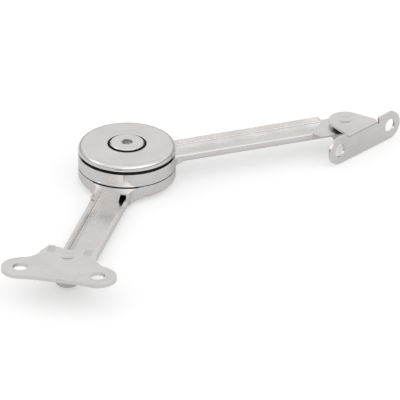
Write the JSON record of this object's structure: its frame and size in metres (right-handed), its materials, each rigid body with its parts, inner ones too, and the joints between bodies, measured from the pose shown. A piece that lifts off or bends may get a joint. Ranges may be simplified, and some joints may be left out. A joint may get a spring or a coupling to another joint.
{
  "type": "friction stay hinge",
  "caption": "Folding friction stay: a flat screw plate and an angle bracket on channel arms that turn in a round adjustable brake.",
  "frame": {"origin": "middle of the screw plate's two holes, on its flat upper face", "axes": "+X along the plate's two holes, +Y from the plate towards the brake, +Z along every pivot, out of the plate's flat face"},
  "size_m": [0.1102, 0.166, 0.0158],
  "materials": {
    "bright_plate": "bright polished nickel plate",
    "rivet_steel": "bright nickel plate, slightly duller than the pressings",
    "nut_steel": "bright nickel plate, turned",
    "inner_steel": "plain oiled steel",
    "friction_lining": "matt friction lining",
    "blackened_steel": "blackened steel",
    "black_seal": "matt black",
    "bush_metal": "plain bearing metal"
  },
  "bodies": {
    "screw_plate": {"screw_plate": "bright_plate", "plate_rivet": "rivet_steel", "plate_spacer": "blackened_steel", "plate_foot": "rivet_steel"},
    "short_arm": {"short_arm": "bright_plate", "centre_bolt": "rivet_steel", "lower_lining": "friction_lining", "seam_seal": "black_seal", "pressure_disc": "inner_steel", "lower_disc_spring": "inner_steel", "upper_disc_spring": "inner_steel", "thrust_washer": "blackened_steel", "gap_seal": "black_seal", "cover_cup": "bright_plate"},
    "adjuster": {"adjusting_nut": "nut_steel"},
    "long_arm": {"long_arm": "bright_plate", "upper_lining": "friction_lining", "bearing_bush": "bush_metal", "drag_disc": "inner_steel", "wave_spring": "inner_steel"},
    "end_bracket": {"end_bracket": "bright_plate", "bracket_rivet": "rivet_steel", "bracket_spacer": "blackened_steel", "bracket_foot": "rivet_steel"}
  },
  "joints": [
    {"name": "plate_pivot", "type": "hinge", "parent": "screw_plate", "child": "short_arm", "pos_m": [0, 0.0122, 0], "axis": [0, 0, 1], "range_deg": [-90, 90]},
    {"name": "brake", "type": "hinge", "parent": "short_arm", "child": "long_arm", "pos_m": [0, 0.0977, 0], "axis": [0, 0, 1], "range_deg": [-84, 56]},
    {"name": "adjuster_turn", "type": "hinge", "parent": "short_arm", "child": "adjuster", "pos_m": [0, 0.0977, 0], "axis": [0, 0, 1], "continuous": true},
    {"name": "bracket_pivot", "type": "hinge", "parent": "long_arm", "child": "end_bracket", "pos_m": [0.07097, 0.14539, 0], "axis": [0, 0, 1], "range_deg": [-25, 120]}
  ]
}
